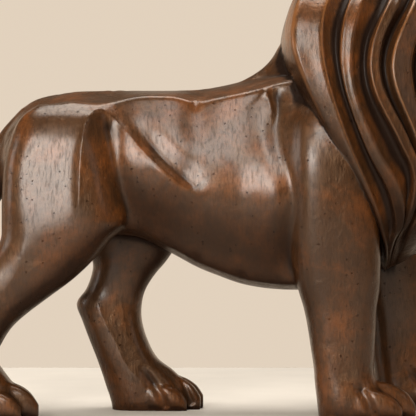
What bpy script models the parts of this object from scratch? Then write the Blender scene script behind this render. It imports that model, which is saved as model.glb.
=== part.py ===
"""A striding lion in cast bronze, one closed casting that stands on the flats of its four paws.

The figure is drawn on a grid of GRID units from the soles to the top of the mane, so every
proportion of the pose is a share of HEIGHT. +X is forward, +Y the lion's left, +Z up, and the
origin lies on the ground under the middle of the casting.
"""

import math

import bmesh
import bpy
import numpy as np

# Driving dimensions, in metres
HEIGHT = 0.42
GRID = 484.0
UNIT = HEIGHT / GRID

# How finely the limbs and trunk, and the head, are melted together, in metres
CLAY_VOXEL = 0.0022
HEAD_VOXEL = 0.0016

# Triangles left in the limbs and trunk once they are melted and carved
BODY_FACES = 5300

RIGHT, LEFT = -1.0, 1.0


# Curves and lofts


def curve_through(rows, count):
    """count rows on a smooth curve through the given rows, both ends included."""
    rows = np.array(rows, float)
    last = len(rows) - 1
    padded = np.vstack([2 * rows[0] - rows[1], rows, 2 * rows[-1] - rows[-2]])
    place = np.linspace(0, last, count)
    return at_places(padded, place, last)


def at_places(padded, place, last):
    first = np.minimum(place.astype(int), last - 1)
    f = (place - first).reshape((-1,) + (1,) * (padded.ndim - 1))
    a, b, c, d = (padded[first + k] for k in range(4))
    return 0.5 * (
        2 * b
        + (c - a) * f
        + (2 * a - 5 * b + 4 * c - d) * f**2
        + (3 * b - a - 3 * c + d) * f**3
    )


def loft(name, rings):
    """A closed mesh through rings of grid points; each end is closed rung by rung across its ring."""
    rings = np.asarray(rings, float) * UNIT
    bm = bmesh.new()
    rows = [[bm.verts.new(point) for point in ring] for ring in rings]
    count = len(rows[0])
    for low, high in zip(rows, rows[1:]):
        for j in range(count):
            k = (j + 1) % count
            bm.faces.new((low[j], low[k], high[k], high[j]))
    for row in (rows[0], rows[-1]):
        for j in range(count // 2):
            rung = [row[j], row[j + 1], row[count - j - 1], row[(count - j) % count]]
            bm.faces.new(list(dict.fromkeys(rung)))
    bmesh.ops.recalc_face_normals(bm, faces=bm.faces)
    mesh = bpy.data.meshes.new(name)
    bm.to_mesh(mesh)
    bm.free()
    return mesh


def oval(count, square):
    """count directions round a squared oval of half-axes 1; square 2 is an ellipse."""
    angle = 2 * math.pi * np.arange(count) / count
    c, s = np.cos(angle), np.sin(angle)
    reach = (np.abs(c) ** square + np.abs(s) ** square) ** (-1 / square)
    return c * reach, s * reach


def level_rings(rows, side, count, sides, square):
    """Level slices of a limb; each row is z, back x, front x, inner y and outer y."""
    across, along = oval(sides, square)
    rings = []
    for z, back, front, inner, outer in curve_through(rows, count):
        x = (back + front) / 2 + (front - back) / 2 * across
        y = side * ((inner + outer) / 2 + (outer - inner) / 2 * along)
        rings.append(np.column_stack([x, y, np.full(sides, z)]))
    return rings


def upright_ring(row, half):
    """A slice across the body: crest, edge, flank and lower points down one side, then the keel."""
    x, crest, edge_y, edge_z, flank_y, flank_z, lower_y, lower_z, keel = row
    top = ((0, crest), (edge_y * 0.5, crest * 0.55 + edge_z * 0.45), (edge_y, edge_z))
    side = ((edge_y, edge_z), (flank_y, flank_z), (lower_y, lower_z))
    under = ((lower_y, lower_z), (lower_y * 0.55, (lower_z + 3 * keel) / 4), (0, keel))
    left = np.vstack(
        [curve_through(top, half), curve_through(side, 2 * half)[1:], curve_through(under, half)[1:]]
    )
    ring = np.vstack([left, left[-2:0:-1] * (-1, 1)])
    return np.column_stack([np.full(len(ring), x), ring])


# The trunk, from the rump to the breast

TRUNK = (
    # x, crest z, edge y, edge z, flank y, flank z, lower y, lower z, keel z
    (-214, 282, 14, 278, 26, 262, 18, 244, 238),
    (-206, 303, 30, 290, 46, 262, 34, 222, 214),
    (-184, 326, 42, 304, 60, 262, 42, 208, 200),
    (-146, 335, 46, 317, 66, 260, 46, 198, 190),
    (-110, 337, 46, 316, 66, 256, 46, 193, 186),
    (-72, 337, 46, 325, 64, 250, 46, 189, 183),
    (-36, 337, 48, 325, 66, 240, 48, 171, 165),
    (-12, 338, 48, 319, 66, 234, 49, 158, 152),
    (10, 341, 50, 323, 67, 228, 49, 149, 143),
    (40, 348, 52, 329, 69, 224, 49, 139, 133),
    (80, 360, 54, 339, 79, 228, 51, 134, 128),
    (118, 368, 56, 346, 84, 244, 50, 137, 130),
    (150, 372, 54, 350, 80, 256, 46, 148, 138),
    (178, 366, 46, 346, 66, 270, 38, 172, 160),
    (200, 350, 30, 334, 44, 276, 26, 208, 190),
)

# The lock of mane that tapers down the spine

NAPE = (
    (6, 338, 3, 337, 4, 332, 4, 326, 318),
    (30, 345, 8, 341, 13, 334, 14, 326, 316),
    (52, 357, 10, 351, 19, 338, 22, 328, 316),
    (66, 370, 12, 363, 24, 346, 28, 332, 320),
    (78, 390, 14, 381, 28, 358, 32, 338, 324),
    (98, 420, 18, 410, 32, 380, 34, 350, 330),
)

# Legs, in level slices from the trunk down to the ground

NEAR_HIND = (
    # z, back x, front x, inner y, outer y
    (318, -176, -112, 10, 44),
    (300, -194, -98, 10, 62),
    (262, -206, -90, 10, 75),
    (225, -209, -86, 12, 78),
    (196, -209, -84, 16, 78),
    (178, -210, -100, 20, 77),
    (160, -222, -115, 22, 76),
    (140, -240, -136, 24, 75),
    (122, -260, -160, 25, 74),
    (104, -286, -184, 25, 74),
    (90, -284, -199, 25, 74),
    (74, -279, -209, 24, 74),
    (60, -276, -215, 23, 75),
    (46, -273, -206, 22, 76),
    (32, -271, -196, 21, 77),
    (14, -269, -190, 21, 77),
    (0, -266, -192, 23, 75),
)

FAR_HIND = (
    (318, -150, -84, 10, 44),
    (300, -168, -70, 10, 62),
    (262, -176, -56, 10, 75),
    (225, -166, -36, 12, 78),
    (196, -150, -30, 14, 78),
    (176, -133, -34, 18, 77),
    (158, -124, -45, 21, 76),
    (144, -125, -57, 23, 75),
    (128, -131, -67, 24, 75),
    (113, -141, -71, 24, 74),
    (95, -135, -71, 23, 74),
    (74, -127, -65, 22, 75),
    (54, -119, -54, 21, 76),
    (40, -114, -36, 20, 77),
    (25, -109, -24, 19, 78),
    (10, -104, -22, 19, 78),
    (0, -102, -24, 21, 76),
)

NEAR_FORE = (
    (322, 92, 150, 20, 66),
    (300, 84, 160, 16, 80),
    (262, 80, 168, 14, 88),
    (225, 80, 170, 16, 88),
    (190, 80, 173, 18, 86),
    (160, 84, 174, 21, 83),
    (130, 91, 173, 23, 80),
    (110, 97, 170, 24, 78),
    (90, 101, 169, 25, 77),
    (70, 104, 168, 25, 76),
    (50, 107, 167, 24, 76),
    (36, 108, 170, 23, 77),
    (18, 110, 182, 21, 79),
    (0, 112, 184, 23, 77),
)

FAR_FORE = (
    (322, 112, 170, 20, 66),
    (300, 112, 186, 16, 80),
    (262, 118, 202, 14, 88),
    (225, 128, 214, 16, 88),
    (190, 140, 226, 18, 86),
    (160, 151, 233, 21, 83),
    (130, 161, 236, 23, 80),
    (110, 167, 237, 24, 78),
    (90, 171, 238, 25, 77),
    (70, 173, 238, 25, 76),
    (50, 175, 238, 24, 76),
    (36, 177, 242, 23, 77),
    (18, 179, 252, 21, 79),
    (0, 181, 254, 23, 77),
)

# Each paw: side of the body, heel x, toe tip x, inner y and outer y

PAWS = (
    (RIGHT, -266, -170, 19, 80),
    (LEFT, -102, -5, 17, 80),
    (RIGHT, 112, 208, 19, 82),
    (LEFT, 181, 279, 19, 82),
)

# Toes: root and tip as shares of a paw's length, middle and half width as shares of its width

TOES = (
    # root, tip, middle, half width, height
    (0.10, 0.82, 0.14, 0.15, 29),
    (0.16, 0.97, 0.38, 0.15, 37),
    (0.16, 1.00, 0.63, 0.15, 37),
    (0.10, 0.84, 0.87, 0.14, 30),
)

# Along a toe: share of its length, of its half width, of its height and of its splay

KNUCKLE = (
    (0.00, 0.50, 1.00, 0.70),
    (0.30, 0.85, 1.10, 0.86),
    (0.52, 1.00, 1.03, 1.00),
    (0.74, 1.02, 0.90, 1.03),
    (0.90, 0.90, 0.68, 1.03),
    (1.00, 0.50, 0.38, 1.00),
)


def toe_meshes(paw):
    side, heel, tip, inner, outer = paw
    length, width = tip - heel, outer - inner
    across, up = oval(16, 2.6)
    meshes = []
    for root, end, middle, half, top in TOES:
        rings = []
        for share, wide, high, splay in curve_through(KNUCKLE, 14):
            x = heel + length * (root + (end - root) * share)
            y = side * (inner + width * (0.5 + (middle - 0.5) * splay + half * wide * across))
            z = top * high * (up + 1) / 2
            rings.append(np.column_stack([np.full(16, x), y, z]))
        meshes.append(loft("toe", rings))
    return meshes


# The tail: a sweep down from the rump to a flame-shaped tuft, swung to the lion's left

TAIL = (
    # x, y, z, radius
    (-180, 0, 308, 18),
    (-202, 0, 280, 20),
    (-219, 0, 252, 18),
    (-236, 2, 218, 15),
    (-251, 5, 182, 12.5),
    (-266, 9, 146, 11),
    (-282, 13, 114, 10.5),
    (-300, 17, 88, 13),
    (-318, 20, 68, 16.5),
    (-334, 22, 58, 12),
    (-346, 23, 56, 3),
)


def tail_mesh():
    rows = curve_through(TAIL, 44)
    run = np.gradient(rows[:, (0, 2)], axis=0)
    run /= np.linalg.norm(run, axis=1, keepdims=True)
    across, up = oval(16, 2.2)
    rings = []
    for (x, y, z, radius), (dx, dz) in zip(rows, run):
        ring = [x - dz * radius * up, y + radius * across, z + dx * radius * up]
        rings.append(np.column_stack(ring))
    return loft("tail", rings)


# The mane: locks nested from the nape to the face. Each key ring runs from the crest of the
# neck down the side to the breast as x and z; its half width is shared out by MANE_SPREAD.

MANE_SPREAD = (0, 0.45, 0.84, 0.97, 1, 0.98, 0.91, 0.77, 0.56, 0)

MANE_RINGS = (
    # half width, then x and z
    (92, (146, 482), (112, 455), (91, 419), (84, 378), (94, 340), (116, 293), (148, 236), (163, 212), (176, 184), (184, 150)),
    (96, (172, 484), (142, 459), (119, 416), (113, 376), (120, 331), (140, 272), (163, 220), (174, 188), (181, 164), (186, 147)),
    (101, (200, 483), (176, 460), (154, 416), (142, 370), (145, 323), (167, 267), (189, 230), (195, 197), (188, 176), (187, 149)),
    (99, (226, 480), (210, 456), (191, 416), (171, 370), (172, 331), (197, 280), (210, 245), (205, 205), (194, 180), (192, 152)),
    (90, (244, 475), (234, 452), (222, 412), (204, 365), (203, 335), (214, 290), (226, 252), (226, 212), (216, 184), (208, 160)),
    (80, (257, 469), (251, 448), (242, 412), (230, 368), (229, 335), (237, 294), (250, 258), (257, 226), (257, 208), (252, 192)),
    (66, (266, 460), (264, 440), (258, 408), (253, 370), (252, 335), (256, 304), (262, 284), (267, 270), (270, 262), (272, 256)),
)

# Locks, as places along the key rings: where the outer wall ends, and where the flat rim ends

LOCKS = ((0.0, 1.0), (1.63, 2.0), (2.71, 3.0), (3.42, 4.0), (4.5, 4.8), (5.45, 6.0))
WALL = 0.09
LOCK_DEPTH = 13.0


def mane_places(slope_rows, rim_rows):
    """Places along the key rings for each row of the mane, with the depth of each below the rims."""
    places, depths = [], []
    for k, (start, end) in enumerate(LOCKS):
        rim = np.linspace(start, end, rim_rows)
        places += list(rim)
        depths += [0.0] * rim_rows
        if k + 1 < len(LOCKS):
            groove = LOCKS[k + 1][0] - WALL
            for f in np.linspace(0, 1, slope_rows + 1)[1:]:
                places.append(end + (groove - end) * f)
                depths.append(math.sin(f * math.pi / 2) ** 0.85)
    return np.array(places), np.array(depths)


def mane_mesh(slope_rows=3, rim_rows=2, along=20):
    keys = []
    for half_width, *points in MANE_RINGS:
        row = [(x, half_width * spread, z) for (x, z), spread in zip(points, MANE_SPREAD)]
        keys.append(curve_through(row, along))
    keys = np.array(keys)
    padded = np.concatenate([[2 * keys[0] - keys[1]], keys, [2 * keys[-1] - keys[-2]]])
    places, depths = mane_places(slope_rows, rim_rows)
    form = at_places(padded, places, len(keys) - 1)
    nearby = at_places(padded, np.clip(places + 0.02, 0, 5.99), len(keys) - 1)
    before = at_places(padded, np.clip(places - 0.02, 0, 5.98), len(keys) - 1)
    out = np.cross(nearby - before, np.gradient(form, axis=1))
    out /= np.linalg.norm(out, axis=2, keepdims=True) + 1e-9
    if out[len(places) // 2, along // 2, 1] < 0:
        out = -out
    out[:, [0, -1], 1] = 0
    s = np.linspace(0, 1, along)
    taper = np.interp(s, (0, 0.12, 0.6, 0.8, 0.95, 1), (0.45, 1, 0.9, 0.6, 0.1, 0))
    form = form - out * (depths[:, None] * taper * LOCK_DEPTH)[:, :, None]
    form[:, [0, -1], 1] = 0
    back = [form[0] * (1, k, 1) + (dx, 0, 0) for k, dx in ((0.35, -7), (0.7, -6), (0.92, -2))]
    face = [form[-1] * (1, 0.9, 1) + (-14, 0, 0), form[-1] * (1, 0.4, 1) + (-16, 0, 0)]
    rows = np.concatenate([back, form, face])
    rings = [np.vstack([row, row[-2:0:-1] * (1, -1, 1)]) for row in rows]
    return loft("mane", rings)


# The head, which the photograph leaves out: slices from inside the mane to the nose

SKULL = (
    # x, crest z, edge y, edge z, flank y, flank z, lower y, lower z, keel z
    (222, 452, 34, 436, 54, 392, 42, 338, 322),
    (250, 463, 38, 446, 58, 394, 44, 336, 320),
    (272, 461, 38, 445, 57, 392, 42, 338, 322),
    (290, 452, 38, 440, 51, 388, 38, 344, 330),
    (301, 443, 33, 433, 42, 386, 32, 352, 340),
    (307, 431, 22, 423, 30, 388, 24, 362, 352),
)

MUZZLE = (
    (270, 410, 12, 404, 40, 372, 34, 348, 344),
    (296, 416, 13, 408, 38, 374, 35, 348, 344),
    (316, 412, 14, 403, 36, 374, 35, 350, 345),
    (336, 405, 15, 396, 36, 372, 34, 351, 346),
    (350, 400, 17, 391, 33, 371, 31, 352, 348),
    (359, 394, 15, 386, 24, 370, 22, 356, 352),
    (362, 386, 9, 380, 13, 370, 11, 360, 357),
)

NOSE = (
    (290, 432, 12, 427, 15, 410, 12, 396, 390),
    (312, 425, 12, 420, 15, 404, 12, 392, 386),
    (334, 416, 13, 411, 16, 398, 13, 388, 382),
    (350, 411, 17, 405, 20, 396, 12, 384, 380),
    (361, 407, 18, 400, 19, 393, 9, 380, 376),
    (368, 398, 11, 393, 12, 388, 6, 380, 377),
)

JAW = (
    (256, 356, 30, 350, 42, 338, 26, 320, 314),
    (290, 356, 29, 350, 37, 338, 25, 324, 318),
    (318, 356, 27, 350, 32, 338, 22, 325, 320),
    (336, 356, 22, 350, 27, 339, 18, 327, 322),
    (347, 354, 14, 349, 18, 341, 12, 332, 328),
)

# Rounded forms on each side of the face: x, y, z and half sizes
FACE_FORMS = (
    (297, 25, 430, 13, 19, 8),
    (302, 26, 415, 9, 8, 7),
    (280, 42, 386, 22, 14, 26),
    (338, 19, 370, 20, 17, 17),
)

HEAD_FACES = 1900


def dome_mesh(centre, half):
    """An ellipsoid as a loft along x."""
    across, up = oval(16, 2.0)
    rings = []
    for f in np.cos(np.linspace(0.96, 0.04, 10) * math.pi):
        reach = math.sqrt(1 - f * f)
        y = centre[1] + half[1] * reach * across
        z = centre[2] + half[2] * reach * up
        rings.append(np.column_stack([np.full(16, centre[0] + half[0] * f), y, z]))
    return loft("dome", rings)


def ear_mesh(side):
    across, up = oval(16, 2.2)
    rings = []
    for share, wide in curve_through(((0, 17), (0.35, 20), (0.7, 17), (0.92, 10), (1.0, 3)), 10):
        x = 254 + 0.42 * wide * up - 7 * share
        y = side * (46 + 22 * share + wide * across)
        rings.append(np.column_stack([x, y, 430 + 36 * share - 0.25 * wide * across]))
    return loft("ear", rings)


def head_object(collection, voxel):
    meshes = [
        loft(name, [upright_ring(row, 5) for row in curve_through(rows, 24)])
        for name, rows in (("skull", SKULL), ("muzzle", MUZZLE), ("nose", NOSE), ("jaw", JAW))
    ]
    for side in (RIGHT, LEFT):
        meshes.append(ear_mesh(side))
        for x, y, z, *half in FACE_FORMS:
            meshes.append(dome_mesh((x, side * y, z), half))
    obj = melted(collection, "head", meshes, voxel)
    smooth = obj.modifiers.new("flow", "SMOOTH")
    smooth.factor = 0.5
    smooth.iterations = 3
    bake(obj)
    carved(obj.data, FACE_STROKES, (RIGHT, LEFT))
    return obj


# Carving. Each stroke follows a line seen from the side and lifts or sinks the surface by its
# height at the line, dying away over one distance above the line and another below it.


def line_distance(points, line):
    """Signed distance of points from a line, positive on its left, and the share along it."""
    near = np.full(len(points), 1e9)
    sign = np.ones(len(points))
    share = np.zeros(len(points))
    for k, (a, b) in enumerate(zip(line, line[1:])):
        run = b - a
        length = max(float(np.hypot(*run)), 1e-9)
        rel = points - a
        f = np.clip(rel @ run / length**2, 0, 1)
        off = rel - f[:, None] * run
        distance = np.hypot(off[:, 0], off[:, 1])
        closer = distance < near
        near[closer] = distance[closer]
        side = run[0] * rel[:, 1] - run[1] * rel[:, 0]
        sign[closer] = np.where(side[closer] >= 0, 1.0, -1.0)
        share[closer] = (k + f[closer]) / (len(line) - 1)
    return near * sign, share


def fading(share, start, end):
    rise = np.clip(share / max(start, 1e-6), 0, 1)
    fall = np.clip((1 - share) / max(end, 1e-6), 0, 1)
    blend = rise * fall
    return blend * blend * (3 - 2 * blend)


STROKES = (
    # turned out (1) or in (-1), then height and reach to the left of the line and to its right,
    # fade in and out, line
    # ridge up the front of the haunch, over its peak and down across the flank
    (1, 4.0, 5, 4.0, 9, 0.12, 0.25, (
        (-131, 194), (-129, 210), (-128, 240), (-127, 262), (-125, 280), (-122, 297), (-117, 308), (-109, 312),
        (-101, 308), (-91, 298), (-82, 288), (-70, 275), (-56, 260), (-42, 246), (-27, 234), (-12, 225), (6, 216),
    )),
    # hollow under the peak, where haunch meets flank
    (1, -7.0, 13, -7.0, 15, 0.22, 0.5, ((-110, 308), (-107, 290), (-100, 265), (-91, 236), (-86, 208), (-84, 190))),
    # slope above the flank's ridge
    (1, -4.8, 15, -4.8, 7, 0.35, 0.3, ((-85, 302), (-67, 281), (-50, 264), (-36, 251), (-20, 239), (1, 229))),
    # edge behind the shoulder
    (1, -3.8, 8, -3.8, 12, 0.15, 0.1, (
        (66, 338), (70, 326), (71, 306), (71, 288), (75, 264), (81, 240), (84, 215), (83, 190), (84, 165), (88, 134),
    )),
    # short ridge behind it
    (1, 3.0, 3, 3.0, 7, 0.3, 0.4, ((52, 334), (59, 329), (63, 318), (65, 306), (64, 290))),
)

NEAR_STROKES = (
    # rear edge of the thigh and shank
    (1, 1.3, 12, 1.3, 10, 0.3, 0.2, ((-180, 200), (-184, 168), (-196, 138), (-222, 110), (-240, 86), (-246, 50))),
    # front edge of the foreleg
    (1, 1.6, 12, 1.6, 8, 0.2, 0.2, (
        (164, 178), (163, 150), (158, 128), (154, 108), (153, 78), (149, 48), (144, 28),
    )),
)

FAR_STROKES = (
    # ridge down the inside of the shank
    (-1, 2.6, 7, 2.6, 12, 0.25, 0.15, (
        (-119, 126), (-117, 114), (-112, 100), (-106, 87), (-97, 71), (-89, 53), (-77, 38), (-60, 31),
    )),
)

# Grooves between the toes, along x from the paw's heel and up

PAW_STROKES = (
    (1, -4.0, 4, -4.0, 5, 0.3, 0.05, ((34, 38), (46, 20), (52, 2))),
    (-1, -4.0, 4, -4.0, 5, 0.3, 0.05, ((29, 50), (41, 33), (53, 16), (58, 2))),
    (-1, -3.5, 4, -3.5, 5, 0.3, 0.05, ((43, 54), (62, 41), (77, 24), (86, 4))),
)

FACE_STROKES = (
    # mouth
    (1, -4.0, 3, -4.0, 3, 0.05, 0.3, ((362, 354), (344, 353), (322, 352), (300, 344))),
    # hollow round the eye
    (1, -5.0, 5, -5.0, 7, 0.2, 0.3, ((312, 418), (309, 405), (298, 401), (284, 405))),
    # fold of the cheek
    (1, -4.0, 6, -4.0, 10, 0.3, 0.3, ((318, 398), (312, 378), (304, 362), (298, 346))),
    # wing of the nostril
    (1, -4.0, 4, -4.0, 4, 0.2, 0.3, ((366, 390), (356, 388), (347, 395))),
)

# Broad faces pressed flat: side, x and z of the middle, half sizes, y there, slopes of y along x and z
PADS = (
    (RIGHT, -150, 243, 43, 62, 76.6, 0.07, -0.06),
)

# How far a pressed face takes to run out, along and up

PAD_END = 20
PAD_RISE = 40

# How far from its line a stroke is still worked

CARVE_SPAN = 60


def soft_box(offset, half, edge):
    """1 well inside a box, 0 outside it, blended over the edge."""
    f = np.clip((half + edge - np.abs(offset)) / (2 * edge), 0, 1)
    return f * f * (3 - 2 * f)


def outward(mesh):
    normals = np.empty(len(mesh.vertices) * 3, np.float32)
    mesh.vertex_normals.foreach_get("vector", normals)
    return normals.reshape(-1, 3)


def grid_points(mesh):
    flat = np.empty(len(mesh.vertices) * 3, np.float32)
    mesh.vertices.foreach_get("co", flat)
    return flat.reshape(-1, 3).astype(float) / UNIT


def put_points(mesh, points):
    mesh.vertices.foreach_set("co", (points * UNIT).astype(np.float32).ravel())
    mesh.update()


def paw_strokes(heel):
    """The grooves of one paw, placed from its heel."""
    return [(*form, [(heel + along, up) for along, up in line]) for *form, line in PAW_STROKES]


def carved(mesh, strokes, sides):
    """Works the strokes into the surface: ridges and steps crisp, hollows round."""
    points = grid_points(mesh)
    normals = outward(mesh)
    moved = np.zeros(len(points))
    for side in sides:
        for turned, left_height, left, right_height, right, fade_in, fade_out, line in strokes:
            facing = normals[:, 1] * side * turned
            line = curve_through(line, 30)
            low, high = line[:, 0].min() - CARVE_SPAN, line[:, 0].max() + CARVE_SPAN
            within = (points[:, 0] > low) & (points[:, 0] < high)
            chosen = np.nonzero(within & (points[:, 1] * side > 4) & (facing > 0.05))[0]
            distance, share = line_distance(points[chosen][:, (0, 2)], line)
            height = np.where(distance > 0, left_height, right_height)
            reach = np.where(distance > 0, left, right)
            roundness = 2 if max(left_height, right_height) < 0 else 1
            lift = height * np.exp(-((np.abs(distance) / reach) ** roundness)) * fading(share, fade_in, fade_out)
            moved[chosen] += lift * np.clip(facing[chosen] * 2, 0, 1) * side * turned
    points[:, 1] += moved
    put_points(mesh, points)


def pressed(mesh):
    points = grid_points(mesh)
    facing = np.abs(outward(mesh)[:, 1])
    for side, x, z, half_x, half_z, out, slope_x, slope_z in PADS:
        along, up = points[:, 0] - x, points[:, 2] - z
        level = side * (out + slope_x * along + slope_z * up)
        weight = soft_box(along, half_x, PAD_END) * soft_box(up, half_z, PAD_RISE)
        weight *= (points[:, 1] * side > 40) * np.clip(facing * 2, 0, 1)
        points[:, 1] += weight * (level - points[:, 1])
    put_points(mesh, points)


# Casting


def joined(name, meshes):
    bm = bmesh.new()
    for mesh in meshes:
        bm.from_mesh(mesh)
        bpy.data.meshes.remove(mesh)
    made = bpy.data.meshes.new(name)
    bm.to_mesh(made)
    bm.free()
    return made


def bake(obj):
    """Gives the object the mesh its modifiers make, and clears them."""
    bpy.context.view_layer.update()
    graph = bpy.context.evaluated_depsgraph_get()
    mesh = bpy.data.meshes.new_from_object(obj.evaluated_get(graph))
    old = obj.data
    obj.modifiers.clear()
    obj.data = mesh
    bpy.data.meshes.remove(old)


# Where limbs flow into the trunk: x, y, z, radius and how strongly they are smoothed there

BLENDS = (
    (-150, -60, 250, 130, 0.9),
    (-110, 60, 250, 130, 0.9),
    (120, -70, 250, 130, 0.9),
    (160, 70, 250, 130, 0.9),
    (0, 0, 250, 160, 0.9),
    (-200, 0, 270, 70, 1.0),
    (-208, -50, 44, 24, 0.7),
    (-42, 48, 44, 24, 0.7),
    (168, -50, 44, 24, 0.7),
    (240, 50, 44, 24, 0.7),
)


def melted(collection, name, meshes, voxel):
    """One object of the meshes, joined and remade as a single skin."""
    obj = bpy.data.objects.new(name, joined(name, meshes))
    collection.objects.link(obj)
    melt = obj.modifiers.new("melt", "REMESH")
    melt.mode = "VOXEL"
    melt.voxel_size = voxel
    bake(obj)
    return obj


def reduced(obj, faces):
    reduce = obj.modifiers.new("reduce", "DECIMATE")
    reduce.ratio = faces / sum(len(p.vertices) - 2 for p in obj.data.polygons)
    bake(obj)


def body_object(collection, voxel):
    meshes = [
        loft("trunk", [upright_ring(row, 7) for row in curve_through(TRUNK, 60)]),
        loft("nape", [upright_ring(row, 5) for row in curve_through(NAPE, 16)]),
        loft("near_hind", level_rings(NEAR_HIND, RIGHT, 60, 32, 2.8)),
        loft("far_hind", level_rings(FAR_HIND, LEFT, 60, 32, 2.8)),
        loft("near_fore", level_rings(NEAR_FORE, RIGHT, 60, 32, 2.8)),
        loft("far_fore", level_rings(FAR_FORE, LEFT, 60, 32, 2.8)),
        tail_mesh(),
    ]
    for paw in PAWS:
        meshes += toe_meshes(paw)
    obj = melted(collection, "lion", meshes, voxel)
    points = grid_points(obj.data)
    weight = np.zeros(len(points))
    for x, y, z, radius, strength in BLENDS:
        away = np.linalg.norm(points - (x, y, z), axis=1)
        weight = np.maximum(weight, strength * np.clip(1.5 - away / radius, 0, 1))
    group = obj.vertex_groups.new(name="blend")
    for level in range(1, 11):
        chosen = np.nonzero(np.round(weight * 10) == level)[0]
        group.add([int(i) for i in chosen], level / 10, "REPLACE")
    smooth = obj.modifiers.new("flow", "SMOOTH")
    smooth.factor = 0.6
    smooth.iterations = 12
    smooth.vertex_group = "blend"
    bake(obj)
    pressed(obj.data)
    carved(obj.data, STROKES, (RIGHT, LEFT))
    carved(obj.data, NEAR_STROKES, (RIGHT,))
    carved(obj.data, FAR_STROKES, (LEFT,))
    for side, heel, *_ in PAWS:
        carved(obj.data, paw_strokes(heel), (side,))
    points = grid_points(obj.data)
    points[points[:, 2] < 2.0, 2] = 0.0
    put_points(obj.data, points)
    return obj


def bronze():
    material = bpy.data.materials.new("bronze")
    material.use_nodes = True
    shader = material.node_tree.nodes["Principled BSDF"]
    shader.inputs["Base Color"].default_value = (0.11, 0.045, 0.018, 1)
    shader.inputs["Metallic"].default_value = 0.9
    shader.inputs["Roughness"].default_value = 0.38
    return material


def settled(mesh):
    """Stands the casting on z = 0 with the middle of its length and width on the origin."""
    flat = np.empty(len(mesh.vertices) * 3, np.float32)
    mesh.vertices.foreach_get("co", flat)
    points = flat.reshape(-1, 3)
    points[points[:, 2] < 1.2 * UNIT, 2] = 0.0
    middle = (points.min(axis=0) + points.max(axis=0)) / 2
    points[:, :2] -= middle[:2]
    mesh.vertices.foreach_set("co", points.ravel())
    mesh.update()
    return -float(middle[0])


def build():
    for obj in list(bpy.data.objects):
        bpy.data.objects.remove(obj)
    collection = bpy.data.collections.new("bronze_lion")
    bpy.context.scene.collection.children.link(collection)
    cutters = bpy.data.collections.new("bronze_lion_tools")
    bpy.context.scene.collection.children.link(cutters)
    lion = body_object(collection, CLAY_VOXEL)
    reduced(lion, BODY_FACES)
    head = head_object(cutters, HEAD_VOXEL)
    reduced(head, HEAD_FACES)
    mane = bpy.data.objects.new("mane", mane_mesh())
    cutters.objects.link(mane)
    for tool in (mane, head):
        tool.hide_render = True
        tool.display_type = "WIRE"
        join = lion.modifiers.new(tool.name, "BOOLEAN")
        join.operation = "UNION"
        # EXACT fails here: it leaves only the ears
        join.solver = "MANIFOLD"
        join.object = tool
        bake(lion)
    lion["shift_x"] = settled(lion.data)
    lion.data.materials.clear()
    lion.data.materials.append(bronze())
    return lion


if __name__ == "__main__":
    build()
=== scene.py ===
"""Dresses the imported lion: the fine casting with its mane locks, chased ridges and brown patina.

It is laid out as an add-on with one operator for each stage of the work and is run as a script.
The figure is drawn on a grid of 484 units from the soles to the top of the mane, the same grid
as the solid's source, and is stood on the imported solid's own box.
"""

import math

import bpy
import numpy as np
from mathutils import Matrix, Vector


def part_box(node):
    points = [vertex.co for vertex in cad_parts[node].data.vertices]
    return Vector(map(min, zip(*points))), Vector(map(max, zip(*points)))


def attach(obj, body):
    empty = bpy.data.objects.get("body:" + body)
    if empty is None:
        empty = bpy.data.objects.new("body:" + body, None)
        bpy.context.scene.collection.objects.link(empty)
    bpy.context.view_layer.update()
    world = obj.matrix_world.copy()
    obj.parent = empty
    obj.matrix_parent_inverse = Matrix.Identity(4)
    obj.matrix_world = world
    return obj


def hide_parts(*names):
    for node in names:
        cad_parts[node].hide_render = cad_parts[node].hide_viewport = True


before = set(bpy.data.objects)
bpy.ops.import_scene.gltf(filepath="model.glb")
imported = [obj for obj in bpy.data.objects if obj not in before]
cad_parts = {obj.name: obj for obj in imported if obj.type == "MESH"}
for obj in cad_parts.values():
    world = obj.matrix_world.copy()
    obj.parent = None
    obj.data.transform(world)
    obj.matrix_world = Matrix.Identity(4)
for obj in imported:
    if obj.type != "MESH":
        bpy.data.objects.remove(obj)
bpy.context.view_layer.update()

bl_info = {
    "name": "Bronze Lion",
    "version": (1, 0, 0),
    "blender": (4, 5, 0),
    "location": "View3D > Sidebar > Bronze Lion",
    "description": "Models and dresses a striding lion in patinated bronze",
    "category": "Add Mesh",
}

GRID = 484.0
SOLID_LOW, SOLID_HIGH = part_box("lion")
UNIT = (SOLID_HIGH.z - SOLID_LOW.z) / GRID
RIGHT, LEFT = -1.0, 1.0


# Curves and primitives reshaped into forms


def curve_through(rows, count):
    """count rows on a smooth curve through the given rows, both ends included."""
    rows = np.array(rows, float)
    last = len(rows) - 1
    padded = np.vstack([2 * rows[0] - rows[1], rows, 2 * rows[-1] - rows[-2]])
    return at_places(padded, np.linspace(0, last, count), last)


def at_places(padded, place, last):
    first = np.minimum(place.astype(int), last - 1)
    f = (place - first).reshape((-1,) + (1,) * (padded.ndim - 1))
    a, b, c, d = (padded[first + k] for k in range(4))
    return 0.5 * (
        2 * b
        + (c - a) * f
        + (2 * a - 5 * b + 4 * c - d) * f**2
        + (3 * b - a - 3 * c + d) * f**3
    )


def grid_points(mesh):
    flat = np.empty(len(mesh.vertices) * 3, np.float32)
    mesh.vertices.foreach_get("co", flat)
    return flat.reshape(-1, 3).astype(float) / UNIT


def put_points(mesh, points):
    mesh.vertices.foreach_set("co", (points * UNIT).astype(np.float32).ravel())
    mesh.update()


def outward(mesh):
    normals = np.empty(len(mesh.vertices) * 3, np.float32)
    mesh.vertex_normals.foreach_get("vector", normals)
    return normals.reshape(-1, 3).astype(float)


def select_only(*objects):
    bpy.ops.object.select_all(action="DESELECT")
    for obj in objects:
        obj.select_set(True)
    bpy.context.view_layer.objects.active = objects[0]


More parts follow.
